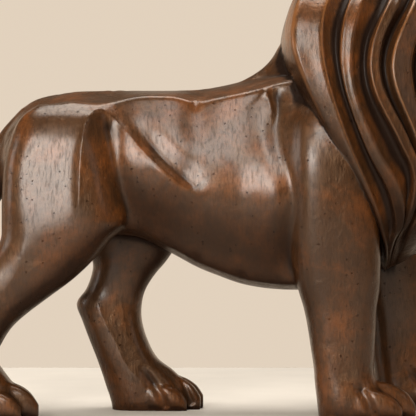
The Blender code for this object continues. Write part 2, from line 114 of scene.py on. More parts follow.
def face_outwards(obj):
    select_only(obj)
    bpy.ops.object.mode_set(mode="EDIT")
    bpy.ops.mesh.select_all(action="SELECT")
    bpy.ops.mesh.normals_make_consistent(inside=False)
    bpy.ops.object.mode_set(mode="OBJECT")


def applied(obj, kind, **settings):
    """Adds a modifier to the object with the settings and applies it."""
    select_only(obj)
    step = obj.modifiers.new(kind.lower(), kind)
    for key, value in settings.items():
        setattr(step, key, value)
    bpy.ops.object.modifier_apply(modifier=step.name)


def skin(name, rings):
    """A globe whose rings are drawn out to the given rings of grid points."""
    rings = np.asarray(rings, float)
    across = len(rings[0])
    bands = len(rings) + 1
    bpy.ops.object.select_all(action="DESELECT")
    bpy.ops.mesh.primitive_uv_sphere_add(segments=across, ring_count=bands, radius=1)
    obj = bpy.context.object
    obj.name = name
    globe = grid_points(obj.data) * UNIT
    band = np.round(np.arccos(np.clip(globe[:, 2], -1, 1)) / math.pi * bands).astype(int)
    turn = np.round(np.arctan2(globe[:, 1], globe[:, 0]) / (2 * math.pi) * across).astype(int) % across
    points = rings[np.clip(band, 1, bands - 1) - 1, turn]
    points[band == 0] = rings[0].mean(axis=0)
    points[band == bands] = rings[-1].mean(axis=0)
    put_points(obj.data, points)
    face_outwards(obj)
    return obj


def half_sheet(name, rows):
    """A grid drawn out to rows of points on the right side, closed by its mirror image."""
    rows = np.asarray(rows, float)
    high, wide = rows.shape[:2]
    bpy.ops.object.select_all(action="DESELECT")
    bpy.ops.mesh.primitive_grid_add(x_subdivisions=wide - 1, y_subdivisions=high - 1, size=2)
    obj = bpy.context.object
    obj.name = name
    sheet = grid_points(obj.data) * UNIT
    i = np.round((sheet[:, 0] + 1) / 2 * (wide - 1)).astype(int)
    j = np.round((sheet[:, 1] + 1) / 2 * (high - 1)).astype(int)
    put_points(obj.data, rows[j, i])
    applied(obj, "MIRROR", use_axis=(False, True, False), use_mirror_merge=True, merge_threshold=1e-5)
    face_outwards(obj)
    return obj


def oval(count, square):
    """count directions round a squared oval of half-axes 1; square 2 is an ellipse."""
    angle = 2 * math.pi * np.arange(count) / count
    c, s = np.cos(angle), np.sin(angle)
    reach = (np.abs(c) ** square + np.abs(s) ** square) ** (-1 / square)
    return c * reach, s * reach


def level_rings(rows, side):
    """Level slices of a limb; each row is z, back x, front x, inner y and outer y."""
    across, along = oval(LIMB_CORNERS, LIMB_SQUARE)
    rings = []
    for z, back, front, inner, outer in curve_through(rows, SLICES):
        x = (back + front) / 2 + (front - back) / 2 * across
        y = side * ((inner + outer) / 2 + (outer - inner) / 2 * along)
        rings.append(np.column_stack([x, y, np.full(LIMB_CORNERS, z)]))
    return rings


def upright_ring(row, half):
    """A slice across the body: crest, edge, flank and lower points down one side, then the keel."""
    x, crest, edge_y, edge_z, flank_y, flank_z, lower_y, lower_z, keel = row
    top = ((0, crest), (edge_y * 0.5, crest * 0.55 + edge_z * 0.45), (edge_y, edge_z))
    side = ((edge_y, edge_z), (flank_y, flank_z), (lower_y, lower_z))
    under = ((lower_y, lower_z), (lower_y * 0.55, (lower_z + 3 * keel) / 4), (0, keel))
    left = np.vstack(
        [curve_through(top, half), curve_through(side, 2 * half)[1:], curve_through(under, half)[1:]]
    )
    ring = np.vstack([left, left[-2:0:-1] * (-1, 1)])
    return np.column_stack([np.full(len(ring), x), ring])


# The grid tables of the figure, the same as in the solid's source

TRUNK = (
    # x, crest z, edge y, edge z, flank y, flank z, lower y, lower z, keel z
    (-214, 282, 14, 278, 26, 262, 18, 244, 238),
    (-206, 303, 30, 290, 46, 262, 34, 222, 214),
    (-184, 326, 42, 304, 60, 262, 42, 208, 200),
    (-146, 335, 46, 317, 66, 260, 46, 198, 190),
    (-110, 337, 46, 316, 66, 256, 46, 193, 186),
    (-72, 337, 46, 325, 64, 250, 46, 189, 183),
    (-36, 337, 48, 325, 66, 240, 48, 171, 165),
    (-12, 338, 48, 319, 66, 234, 49, 158, 152),
    (10, 341, 50, 323, 67, 228, 49, 149, 143),
    (40, 348, 52, 329, 69, 224, 49, 139, 133),
    (80, 360, 54, 339, 79, 228, 51, 134, 128),
    (118, 368, 56, 346, 84, 244, 50, 137, 130),
    (150, 372, 54, 350, 80, 256, 46, 148, 138),
    (178, 366, 46, 346, 66, 270, 38, 172, 160),
    (200, 350, 30, 334, 44, 276, 26, 208, 190),
)

NAPE = (
    (6, 338, 3, 337, 4, 332, 4, 326, 318),
    (30, 345, 8, 341, 13, 334, 14, 326, 316),
    (52, 357, 10, 351, 19, 338, 22, 328, 316),
    (66, 370, 12, 363, 24, 346, 28, 332, 320),
    (78, 390, 14, 381, 28, 358, 32, 338, 324),
    (98, 420, 18, 410, 32, 380, 34, 350, 330),
)

NEAR_HIND = (
    # z, back x, front x, inner y, outer y
    (318, -176, -112, 10, 44),
    (300, -194, -98, 10, 62),
    (262, -206, -90, 10, 75),
    (225, -209, -86, 12, 78),
    (196, -209, -84, 16, 78),
    (178, -210, -100, 20, 77),
    (160, -222, -115, 22, 76),
    (140, -240, -136, 24, 75),
    (122, -260, -160, 25, 74),
    (104, -286, -184, 25, 74),
    (90, -284, -199, 25, 74),
    (74, -279, -209, 24, 74),
    (60, -276, -215, 23, 75),
    (46, -273, -206, 22, 76),
    (32, -271, -196, 21, 77),
    (14, -269, -190, 21, 77),
    (0, -266, -192, 23, 75),
)

FAR_HIND = (
    (318, -150, -84, 10, 44),
    (300, -168, -70, 10, 62),
    (262, -176, -56, 10, 75),
    (225, -166, -36, 12, 78),
    (196, -150, -30, 14, 78),
    (176, -133, -34, 18, 77),
    (158, -124, -45, 21, 76),
    (144, -125, -57, 23, 75),
    (128, -131, -67, 24, 75),
    (113, -141, -71, 24, 74),
    (95, -135, -71, 23, 74),
    (74, -127, -65, 22, 75),
    (54, -119, -54, 21, 76),
    (40, -114, -36, 20, 77),
    (25, -109, -24, 19, 78),
    (10, -104, -22, 19, 78),
    (0, -102, -24, 21, 76),
)

NEAR_FORE = (
    (322, 92, 150, 20, 66),
    (300, 84, 160, 16, 80),
    (262, 80, 168, 14, 88),
    (225, 80, 170, 16, 88),
    (190, 80, 173, 18, 86),
    (160, 84, 174, 21, 83),
    (130, 91, 173, 23, 80),
    (110, 97, 170, 24, 78),
    (90, 101, 169, 25, 77),
    (70, 104, 168, 25, 76),
    (50, 107, 167, 24, 76),
    (36, 108, 170, 23, 77),
    (18, 110, 182, 21, 79),
    (0, 112, 184, 23, 77),
)

FAR_FORE = (
    (322, 112, 170, 20, 66),
    (300, 112, 186, 16, 80),
    (262, 118, 202, 14, 88),
    (225, 128, 214, 16, 88),
    (190, 140, 226, 18, 86),
    (160, 151, 233, 21, 83),
    (130, 161, 236, 23, 80),
    (110, 167, 237, 24, 78),
    (90, 171, 238, 25, 77),
    (70, 173, 238, 25, 76),
    (50, 175, 238, 24, 76),
    (36, 177, 242, 23, 77),
    (18, 179, 252, 21, 79),
    (0, 181, 254, 23, 77),
)

PAWS = (
    (RIGHT, -266, -170, 19, 80),
    (LEFT, -102, -5, 17, 80),
    (RIGHT, 112, 208, 19, 82),
    (LEFT, 181, 279, 19, 82),
)

TOES = (
    # root, tip, middle, half width, height
    (0.10, 0.82, 0.14, 0.15, 29),
    (0.16, 0.97, 0.38, 0.15, 37),
    (0.16, 1.00, 0.63, 0.15, 37),
    (0.10, 0.84, 0.87, 0.14, 30),
)

KNUCKLE = (
    (0.00, 0.50, 1.00, 0.70),
    (0.30, 0.85, 1.10, 0.86),
    (0.52, 1.00, 1.03, 1.00),
    (0.74, 1.02, 0.90, 1.03),
    (0.90, 0.90, 0.68, 1.03),
    (1.00, 0.50, 0.38, 1.00),
)

TAIL = (
    # x, y, z, radius
    (-180, 0, 308, 18),
    (-202, 0, 280, 20),
    (-219, 0, 252, 18),
    (-236, 2, 218, 15),
    (-251, 5, 182, 12.5),
    (-266, 9, 146, 11),
    (-282, 13, 114, 10.5),
    (-300, 17, 88, 13),
    (-318, 20, 68, 16.5),
    (-334, 22, 58, 12),
    (-346, 23, 56, 3),
)

MANE_SPREAD = (0, 0.45, 0.84, 0.97, 1, 0.98, 0.91, 0.77, 0.56, 0)

MANE_RINGS = (
    # half width, then x and z
    (92, (146, 482), (112, 455), (91, 419), (84, 378), (94, 340),
     (116, 293), (148, 236), (163, 212), (176, 184), (184, 150)),
    (96, (172, 484), (142, 459), (119, 416), (113, 376), (120, 331),
     (140, 272), (163, 220), (174, 188), (181, 164), (186, 147)),
    (101, (200, 483), (176, 460), (154, 416), (142, 370), (145, 323),
     (167, 267), (189, 230), (195, 197), (188, 176), (187, 149)),
    (99, (226, 480), (210, 456), (191, 416), (171, 370), (172, 331),
     (197, 280), (210, 245), (205, 205), (194, 180), (192, 152)),
    (90, (244, 475), (234, 452), (222, 412), (204, 365), (203, 335),
     (214, 290), (226, 252), (226, 212), (216, 184), (208, 160)),
    (80, (257, 469), (251, 448), (242, 412), (230, 368), (229, 335),
     (237, 294), (250, 258), (257, 226), (257, 208), (252, 192)),
    (66, (266, 460), (264, 440), (258, 408), (253, 370), (252, 335),
     (256, 304), (262, 284), (267, 270), (270, 262), (272, 256)),
)

# Places of each lock along the mane's rings: where its rim starts and ends
LOCKS = ((0.0, 1.0), (1.63, 2.0), (2.71, 3.0), (3.42, 4.0), (4.5, 4.8), (5.45, 6.0))

# Width of the wall at the front of each groove, in places, and how deep the grooves run
WALL = 0.09
LOCK_DEPTH = 13.0
# Share of the depth that a groove keeps half way up its wall
WALL_STEP = 0.52
# Hollow across each rim and the rounding of its edges, in shares of the depth
RIM_HOLLOW = 0.06
EDGE_ROUND = 0.035
# How the depth grows to its full value and fades again, from the crown to the breast
TAPER_PLACES = (0, 0.12, 0.6, 0.8, 0.95, 1)
TAPER_SHARES = (0.45, 1, 0.9, 0.6, 0.1, 0)

# How the mane is closed behind the first lock and in front of the last: share of the half
# width that is left, and how far each row is shifted along
MANE_BACK = ((0, -7), (0.35, -7), (0.7, -6), (0.92, -2))
MANE_FACE = ((0.9, -14), (0.4, -16), (0, -16))

SKULL = (
    # x, crest z, edge y, edge z, flank y, flank z, lower y, lower z, keel z
    (222, 452, 34, 436, 54, 392, 42, 338, 322),
    (250, 463, 38, 446, 58, 394, 44, 336, 320),
    (272, 461, 38, 445, 57, 392, 42, 338, 322),
    (290, 452, 38, 440, 51, 388, 38, 344, 330),
    (301, 443, 33, 433, 42, 386, 32, 352, 340),
    (307, 431, 22, 423, 30, 388, 24, 362, 352),
)

MUZZLE = (
    (270, 410, 12, 404, 40, 372, 34, 348, 344),
    (296, 416, 13, 408, 38, 374, 35, 348, 344),
    (316, 412, 14, 403, 36, 374, 35, 350, 345),
    (336, 405, 15, 396, 36, 372, 34, 351, 346),
    (350, 400, 17, 391, 33, 371, 31, 352, 348),
    (359, 394, 15, 386, 24, 370, 22, 356, 352),
    (362, 386, 9, 380, 13, 370, 11, 360, 357),
)

NOSE = (
    (290, 432, 12, 427, 15, 410, 12, 396, 390),
    (312, 425, 12, 420, 15, 404, 12, 392, 386),
    (334, 416, 13, 411, 16, 398, 13, 388, 382),
    (350, 411, 17, 405, 20, 396, 12, 384, 380),
    (361, 407, 18, 400, 19, 393, 9, 380, 376),
    (368, 398, 11, 393, 12, 388, 6, 380, 377),
)

JAW = (
    (256, 356, 30, 350, 42, 338, 26, 320, 314),
    (290, 356, 29, 350, 37, 338, 25, 324, 318),
    (318, 356, 27, 350, 32, 338, 22, 325, 320),
    (336, 356, 22, 350, 27, 339, 18, 327, 322),
    (347, 354, 14, 349, 18, 341, 12, 332, 328),
)

# Rounded forms on each side of the face: x, y, z and half sizes
FACE_FORMS = (
    (297, 25, 430, 13, 19, 8),
    (302, 26, 415, 9, 8, 7),
    (280, 42, 386, 22, 14, 26),
    (338, 19, 370, 20, 17, 17),
)

STROKES = (
    # turned out (1) or in (-1), then height and reach to the left of the line and to its right,
    # fade in and out, line
    # ridge up the front of the haunch, over its peak and down across the flank
    (1, 4.0, 5, 4.0, 9, 0.12, 0.25, (
        (-131, 194), (-129, 210), (-128, 240), (-127, 262),
        (-125, 280), (-122, 297), (-117, 308), (-109, 312),
        (-101, 308), (-91, 298), (-82, 288), (-70, 275), (-56, 260),
        (-42, 246), (-27, 234), (-12, 225), (6, 216),
    )),
    # hollow under the peak, where haunch meets flank
    (1, -7.0, 13, -7.0, 15, 0.22, 0.5, (
        (-110, 308), (-107, 290), (-100, 265), (-91, 236), (-86, 208), (-84, 190),
    )),
    # slope above the flank's ridge
    (1, -4.8, 15, -4.8, 7, 0.35, 0.3, (
        (-85, 302), (-67, 281), (-50, 264), (-36, 251), (-20, 239), (1, 229),
    )),
    # edge behind the shoulder
    (1, -3.8, 8, -3.8, 12, 0.15, 0.1, (
        (66, 338), (70, 326), (71, 306), (71, 288), (75, 264),
        (81, 240), (84, 215), (83, 190), (84, 165), (88, 134),
    )),
    # short ridge behind it
    (1, 3.0, 3, 3.0, 7, 0.3, 0.4, ((52, 334), (59, 329), (63, 318), (65, 306), (64, 290))),
)

NEAR_STROKES = (
    # rear edge of the thigh and shank
    (1, 1.3, 12, 1.3, 10, 0.3, 0.2, (
        (-180, 200), (-184, 168), (-196, 138), (-222, 110), (-240, 86), (-246, 50),
    )),
    # front edge of the foreleg
    (1, 1.6, 12, 1.6, 8, 0.2, 0.2, (
        (164, 178), (163, 150), (158, 128), (154, 108), (153, 78), (149, 48), (144, 28),
    )),
)

FAR_STROKES = (
    # ridge down the inside of the shank
    (-1, 2.6, 7, 2.6, 12, 0.25, 0.15, (
        (-119, 126), (-117, 114), (-112, 100), (-106, 87),
        (-97, 71), (-89, 53), (-77, 38), (-60, 31),
    )),
)

FACE_STROKES = (
    # mouth
    (1, -4.0, 3, -4.0, 3, 0.05, 0.3, ((362, 354), (344, 353), (322, 352), (300, 344))),
    # hollow round the eye
    (1, -5.0, 5, -5.0, 7, 0.2, 0.3, ((312, 418), (309, 405), (298, 401), (284, 405))),
    # fold of the cheek
    (1, -4.0, 6, -4.0, 10, 0.3, 0.3, ((318, 398), (312, 378), (304, 362), (298, 346))),
    # wing of the nostril
    (1, -4.0, 4, -4.0, 4, 0.2, 0.3, ((366, 390), (356, 388), (347, 395))),
)

PAW_STROKES = (
    (1, -4.0, 4, -4.0, 5, 0.3, 0.05, ((34, 38), (46, 20), (52, 2))),
    (-1, -4.0, 4, -4.0, 5, 0.3, 0.05, ((29, 50), (41, 33), (53, 16), (58, 2))),
    (-1, -3.5, 4, -3.5, 5, 0.3, 0.05, ((43, 54), (62, 41), (77, 24), (86, 4))),
)

# Broad faces pressed flat: side, x and z of the middle, half sizes, y there, slopes of y along x and z
PADS = (
    (RIGHT, -150, 243, 43, 62, 76.6, 0.07, -0.06),
)

# How far a pad is blended into what lies beyond its ends, and above and below it
PAD_END = 20
PAD_RISE = 40
# A pad presses only what lies this far out
PAD_OUT = 40
# How far beyond its own line a stroke can reach
CARVE_SPAN = 60

# Places smoothed after the limbs are melted together: x, y, z, radius, strength
BLENDS = (
    (-150, -60, 250, 130, 0.9),
    (-110, 60, 250, 130, 0.9),
    (120, -70, 250, 130, 0.9),
    (160, 70, 250, 130, 0.9),
    (0, 0, 250, 160, 0.9),
    (-200, 0, 270, 70, 1.0),
    (-208, -50, 44, 24, 0.7),
    (-42, 48, 44, 24, 0.7),
    (168, -50, 44, 24, 0.7),
    (240, 50, 44, 24, 0.7),
)


# The ear: share of its height and half width there
EAR = ((0, 17), (0.35, 20), (0.7, 17), (0.92, 10), (1.0, 3))

# Slices along a limb or the trunk, corners round a limb, and how square its slices are
SLICES = 120
LIMB_CORNERS = 56
LIMB_SQUARE = 2.8
TOE_SQUARE = 2.6
TAIL_SQUARE = 2.2

# The smoothing was settled at this grid, in metres; a finer one takes more passes
SOURCE_VOXEL = 0.0022
FLOW_PASSES = 12

# Soles below this height are flattened onto the ground
SOLE = 2.0

# Passes of smoothing, and the height in grid units that counts as a full mark
EDGE_MARK = (4, 1.2)
FORM_MARK = (40, 2.6)

# Lights: place, size, power, colour. Each is a square softbox turned to the middle of the lion.
SOFTBOXES = (
    ("key", (-0.66, -1.72, 0.6), 0.62, 24, (1.0, 0.965, 0.91)),
    ("high", (-0.11, -1.42, 1.02), 0.4, 7.5, (1.0, 0.965, 0.91)),
    ("side", (-1.7, -0.35, 0.6), 0.7, 6, (1.0, 0.97, 0.93)),
    ("fill", (1.5, -1.2, 0.9), 0.9, 2, (1.0, 0.96, 0.9)),
    ("above", (0.0, 0.1, 2.3), 1.6, 54, (1.0, 0.97, 0.92)),
)

# The photograph's camera on the figure's grid: along, out, up, and the tilt that frames it
CAMERA_PLACE = (-10.8, -1600, 152)
CAMERA_TILT = 92.2
CAMERA_PIXELS = 1530
FRAME_PIXELS = 416


# Forms


def toe_forms(paw):
    side, heel, tip, inner, outer = paw
    length, width = tip - heel, outer - inner
    across, up = oval(24, TOE_SQUARE)
    forms = []
    for root, end, middle, half, top in TOES:
        rings = []
        for share, wide, high, splay in curve_through(KNUCKLE, 26):
            x = heel + length * (root + (end - root) * share)
            y = side * (inner + width * (0.5 + (middle - 0.5) * splay + half * wide * across))
            z = top * high * (up + 1) / 2
            rings.append(np.column_stack([np.full(24, x), y, z]))
        forms.append(skin("toe", rings))
    return forms


def tail_form():
    rows = curve_through(TAIL, 90)
    run = np.gradient(rows[:, (0, 2)], axis=0)
    run /= np.linalg.norm(run, axis=1, keepdims=True)
    across, up = oval(28, TAIL_SQUARE)
    rings = []
    for (x, y, z, radius), (dx, dz) in zip(rows, run):
        ring = [x - dz * radius * up, y + radius * across, z + dx * radius * up]
        rings.append(np.column_stack(ring))
    return skin("tail", rings)


def mane_places(slope_rows, rim_rows):
    """Places along the key rings for each row of the mane, with the depth of each below the rims."""
    places, depths = [], []
    for k, (start, end) in enumerate(LOCKS):
        for f in np.linspace(0, 1, rim_rows):
            places.append(start + (end - start) * f)
            depths.append(RIM_HOLLOW * math.sin(math.pi * f) + (EDGE_ROUND if f in (0, 1) else 0))
        if k + 1 < len(LOCKS):
            groove = LOCKS[k + 1][0] - WALL
            for f in np.linspace(0, 1, slope_rows + 1)[1:]:
                places.append(end + (groove - end) * f)
                depths.append(math.sin(f * math.pi / 2) ** 0.85)
            places.append(groove + WALL * 0.5)
            depths.append(WALL_STEP)
    return np.array(places), np.array(depths)


def mane_form(slope_rows, rim_rows, along):
    keys = []
    for half_width, *points in MANE_RINGS:
        row = [(x, half_width * spread, z) for (x, z), spread in zip(points, MANE_SPREAD)]
        keys.append(curve_through(row, along))
    keys = np.array(keys)
    last = len(keys) - 1
    padded = np.concatenate([[2 * keys[0] - keys[1]], keys, [2 * keys[-1] - keys[-2]]])
    places, depths = mane_places(slope_rows, rim_rows)
    form = at_places(padded, places, last)
    ahead = at_places(padded, np.clip(places + 0.02, 0, last - 0.01), last)
    behind = at_places(padded, np.clip(places - 0.02, 0, last - 0.02), last)
    out = np.cross(ahead - behind, np.gradient(form, axis=1))
    out /= np.linalg.norm(out, axis=2, keepdims=True) + 1e-9
    if out[len(places) // 2, along // 2, 1] < 0:
        out = -out
    out[:, [0, -1], 1] = 0
    s = np.linspace(0, 1, along)
    taper = np.interp(s, TAPER_PLACES, TAPER_SHARES)
    form = form - out * (depths[:, None] * taper * LOCK_DEPTH)[:, :, None]
    back = [form[0] * (1, k, 1) + (dx, 0, 0) for k, dx in MANE_BACK]
    face = [form[-1] * (1, k, 1) + (dx, 0, 0) for k, dx in MANE_FACE]
    rows = np.concatenate([back, form, face])
    rows[:, [0, -1], 1] = 0
    return half_sheet("mane", rows * (1, RIGHT, 1))


def dome_form(centre, half):
    """An ellipsoid: a globe sized and placed."""
    bpy.ops.object.select_all(action="DESELECT")
    bpy.ops.mesh.primitive_uv_sphere_add(segments=32, ring_count=20, radius=1)
    obj = bpy.context.object
    put_points(obj.data, grid_points(obj.data) * UNIT * half + centre)
    return obj


def ear_form(side):
    across, up = oval(28, TAIL_SQUARE)
    rings = []
    for share, wide in curve_through(EAR, 24):
        x = 254 + 0.42 * wide * up - 7 * share
        y = side * (46 + 22 * share + wide * across)
        rings.append(np.column_stack([x, y, 430 + 36 * share - 0.25 * wide * across]))
    return skin("ear", rings)


# Clay: forms are joined, melted into one skin, smoothed where they meet, pressed and carved


def melted(name, forms, voxel):
    select_only(*forms)
    bpy.ops.object.join()
    obj = bpy.context.object
    obj.name = name
    applied(obj, "REMESH", mode="VOXEL", voxel_size=voxel)
    return obj


def line_distance(points, line):
    """Signed distance of points from a line, positive on its left, and the share along it."""
    near = np.full(len(points), 1e9)
    sign = np.ones(len(points))
    share = np.zeros(len(points))
    for k, (a, b) in enumerate(zip(line, line[1:])):
        run = b - a
        length = max(float(np.hypot(*run)), 1e-9)
        rel = points - a
        f = np.clip(rel @ run / length**2, 0, 1)
        off = rel - f[:, None] * run
        distance = np.hypot(off[:, 0], off[:, 1])
        closer = distance < near
        near[closer] = distance[closer]
        side = run[0] * rel[:, 1] - run[1] * rel[:, 0]
        sign[closer] = np.where(side[closer] >= 0, 1.0, -1.0)
        share[closer] = (k + f[closer]) / (len(line) - 1)
    return near * sign, share


def fading(share, start, end):
    rise = np.clip(share / max(start, 1e-6), 0, 1)
    fall = np.clip((1 - share) / max(end, 1e-6), 0, 1)
    blend = rise * fall
    return blend * blend * (3 - 2 * blend)


def soft_box(offset, half, edge):
    """1 well inside a box, 0 outside it, blended over the edge."""
    f = np.clip((half + edge - np.abs(offset)) / (2 * edge), 0, 1)
    return f * f * (3 - 2 * f)


def paw_strokes(heel):
    """The grooves of one paw, placed from its heel."""
    return [(*form, [(heel + along, up) for along, up in line]) for *form, line in PAW_STROKES]


def carved(mesh, strokes, sides):
    """Works the strokes into the surface: ridges and steps crisp, hollows round."""
    points = grid_points(mesh)
    normals = outward(mesh)
    moved = np.zeros(len(points))
    for side in sides:
        for turned, left_height, left, right_height, right, fade_in, fade_out, line in strokes:
            facing = normals[:, 1] * side * turned
            line = curve_through(line, 30)
            low, high = line[:, 0].min() - CARVE_SPAN, line[:, 0].max() + CARVE_SPAN
            within = (points[:, 0] > low) & (points[:, 0] < high)
            chosen = np.nonzero(within & (points[:, 1] * side > 4) & (facing > 0.05))[0]
            distance, share = line_distance(points[chosen][:, (0, 2)], line)
            height = np.where(distance > 0, left_height, right_height)
            reach = np.where(distance > 0, left, right)
            roundness = 2 if max(left_height, right_height) < 0 else 1
            lift = height * np.exp(-((np.abs(distance) / reach) ** roundness))
            lift = lift * fading(share, fade_in, fade_out)
            moved[chosen] += lift * np.clip(facing[chosen] * 2, 0, 1) * side * turned
    points[:, 1] += moved
    put_points(mesh, points)


def pressed(mesh):
    """Presses the skin flat over each pad."""
    points = grid_points(mesh)
    facing = np.abs(outward(mesh)[:, 1])
    for side, x, z, half_x, half_z, out, slope_x, slope_z in PADS:
        along, up = points[:, 0] - x, points[:, 2] - z
        level = side * (out + slope_x * along + slope_z * up)
        weight = soft_box(along, half_x, PAD_END) * soft_box(up, half_z, PAD_RISE)
        weight *= (points[:, 1] * side > PAD_OUT) * np.clip(facing * 2, 0, 1)
        points[:, 1] += weight * (level - points[:, 1])
    put_points(mesh, points)


def flowed(obj, voxel):
    """Smooths the skin where limbs meet the trunk."""
    points = grid_points(obj.data)
    weight = np.zeros(len(points))
    for x, y, z, radius, strength in BLENDS:
        away = np.linalg.norm(points - (x, y, z), axis=1)
        weight = np.maximum(weight, strength * np.clip(1.5 - away / radius, 0, 1))
    group = obj.vertex_groups.new(name="blend")
    for level in range(1, 11):
        chosen = np.nonzero(np.round(weight * 10) == level)[0]
        group.add([int(i) for i in chosen], level / 10, "REPLACE")
    passes = round(FLOW_PASSES * (SOURCE_VOXEL / voxel) ** 2)
    applied(obj, "SMOOTH", factor=0.6, iterations=passes, vertex_group="blend")


def triangles(obj):
    return sum(len(p.vertices) - 2 for p in obj.data.polygons)


def fitted(mesh, low, high):
    """Stretches the mesh, by less than a hundredth, so that it fills the solid's box."""
    points = grid_points(mesh) * UNIT
    own_low, own_high = points.min(axis=0), points.max(axis=0)
    low, high = np.array(low), np.array(high)
    points = low + (points - own_low) * (high - low) / (own_high - own_low)
    put_points(mesh, points / UNIT)


def relaxed(points, pairs, passes):
    """The points after each has been drawn to the middle of its neighbours a few times."""
    count = len(points)
    degree = np.bincount(pairs.ravel(), minlength=count).astype(float)[:, None]
    for _ in range(passes):
        total = np.zeros_like(points)
        for axis in range(points.shape[1]):
            total[:, axis] += np.bincount(pairs[:, 0], points[pairs[:, 1], axis], count)
            total[:, axis] += np.bincount(pairs[:, 1], points[pairs[:, 0], axis], count)
        points = 0.5 * points + 0.5 * total / degree
    return points


def point_pairs(mesh):
    flat = np.empty(len(mesh.edges) * 2, np.int32)
    mesh.edges.foreach_get("vertices", flat)
    return flat.reshape(-1, 2)


def softened(mesh):
    """Fills the sharp bottoms of creases a little, as wax and metal do."""
    points = grid_points(mesh)
    sunk = ((relaxed(points, point_pairs(mesh), 4) - points) * outward(mesh)).sum(axis=1)
    weight = np.clip(sunk / 0.5, 0, 1)[:, None]
    weight = relaxed(weight, point_pairs(mesh), 4)
    points += weight * (relaxed(points, point_pairs(mesh), 10) - points)
    put_points(mesh, points)


def mark_points(mesh, name, values):
    mark = mesh.attributes.new(name, "FLOAT", "POINT")
    mark.data.foreach_set("value", values.astype(np.float32))


def mark_relief(mesh):
    """Stores how far each point stands proud or sunk, near and wide, and whether it looks down."""
    points = grid_points(mesh)
    normals = outward(mesh)
    pairs = point_pairs(mesh)
    for name, (passes, full) in (("edge", EDGE_MARK), ("form", FORM_MARK)):
        proud = ((points - relaxed(points, pairs, passes)) * normals).sum(axis=1) / full
        mark_points(mesh, name, np.clip(proud, -1, 1))
    # How far each point looks down, kept for the painted shade on undersides
    downward = relaxed(-normals[:, 2:], pairs, 6)[:, 0]
    mark_points(mesh, "under", np.clip((downward + 0.08) / 0.45, 0, 1))


# The patina, with painted shade in hollows and on undersides


# Colours that the metal and the wax lend to what they reflect and let through
METAL_TINT = (1.0, 0.76, 0.52, 1)
WAX_TINT = (1.0, 0.88, 0.72, 1)
WAX_IOR = 1.5
# Noise, each with its scale, detail, roughness and distortion
PATCHES = (17, 4, 0.62, 0.6)
MOTTLE = (95, 6, 0.7, 0.4)
GRAIN = (620, 3, 0.6)
STREAKS = (4.2, 5, 0.65, 0.5)
WORKED = (48, 3, 0.5, 0.3)
# The brushed streaks run down the figure and lean a little forward
STREAK_STRETCH = (105, 75, 25)
STREAK_LEAN = (0.0, 0.28, 0.0)
# Casting pits: cells to the metre, and the share of cells that hold one
PIT_SCALE = 210
PIT_SHARE = (0.17, 0.18)
# How much of the shine hollows, undersides, pits and streaks lose; the undersides' share also sets how far
# they are painted dark as shade
HOLLOW_DULL = 0.85
UNDER_SHADE_AND_DULL = 0.88
PIT_DULL = 0.9
STREAK_DULL = 0.45
# Heights in the bump, in shares of its depth
WORKED_HEIGHT = 2.0
STREAK_HEIGHT = 0.42
MOTTLE_HEIGHT = 0.3
GRAIN_HEIGHT = 0.09
PIT_DEPTH = 0.7


def node(tree, kind, place, **values):
    made = tree.nodes.new(kind)
    made.location = place
    for key, value in values.items():
        setattr(made, key, value)
    return made


def noise(tree, vector, place, scale, detail, roughness, distortion=0.0):
    made = node(tree, "ShaderNodeTexNoise", place)
    made.inputs["Scale"].default_value = scale
    made.inputs["Detail"].default_value = detail
    made.inputs["Roughness"].default_value = roughness
    made.inputs["Distortion"].default_value = distortion
    tree.links.new(vector, made.inputs["Vector"])
    return made.outputs["Fac"]


def ramp(tree, value, place, low, high, to_low=0.0, to_high=1.0):
    made = node(tree, "ShaderNodeMapRange", place)
    made.interpolation_type = "SMOOTHSTEP"
    made.inputs["From Min"].default_value = low
    made.inputs["From Max"].default_value = high
    made.inputs["To Min"].default_value = to_low
    made.inputs["To Max"].default_value = to_high
    tree.links.new(value, made.inputs["Value"])
    return made.outputs["Result"]


def sums(tree, operation, first, second, place):
    made = node(tree, "ShaderNodeMath", place, operation=operation)
    for socket, value in zip(made.inputs, (first, second)):
        if isinstance(value, (int, float)):
            socket.default_value = value
        else:
            tree.links.new(value, socket)
    return made.outputs["Value"]


def blended(tree, share, first, second, place):
    made = node(tree, "ShaderNodeMix", place, data_type="RGBA")
    tree.links.new(share, made.inputs[0])
    for socket, value in ((made.inputs[6], first), (made.inputs[7], second)):
        if isinstance(value, (tuple, list)) or hasattr(value, "hsv"):
            socket.default_value = (*value[:3], 1)
        else:
            tree.links.new(value, socket)
    return made.outputs[2]


def stretched(tree, vector, place, scale, turn):
    made = node(tree, "ShaderNodeMapping", place)
    made.inputs["Scale"].default_value = scale
    made.inputs["Rotation"].default_value = turn
    tree.links.new(vector, made.inputs["Vector"])
    return made.outputs["Vector"]


def attribute(tree, name, place):
    made = node(tree, "ShaderNodeAttribute", place, attribute_name=name)
    return made.outputs["Fac"]


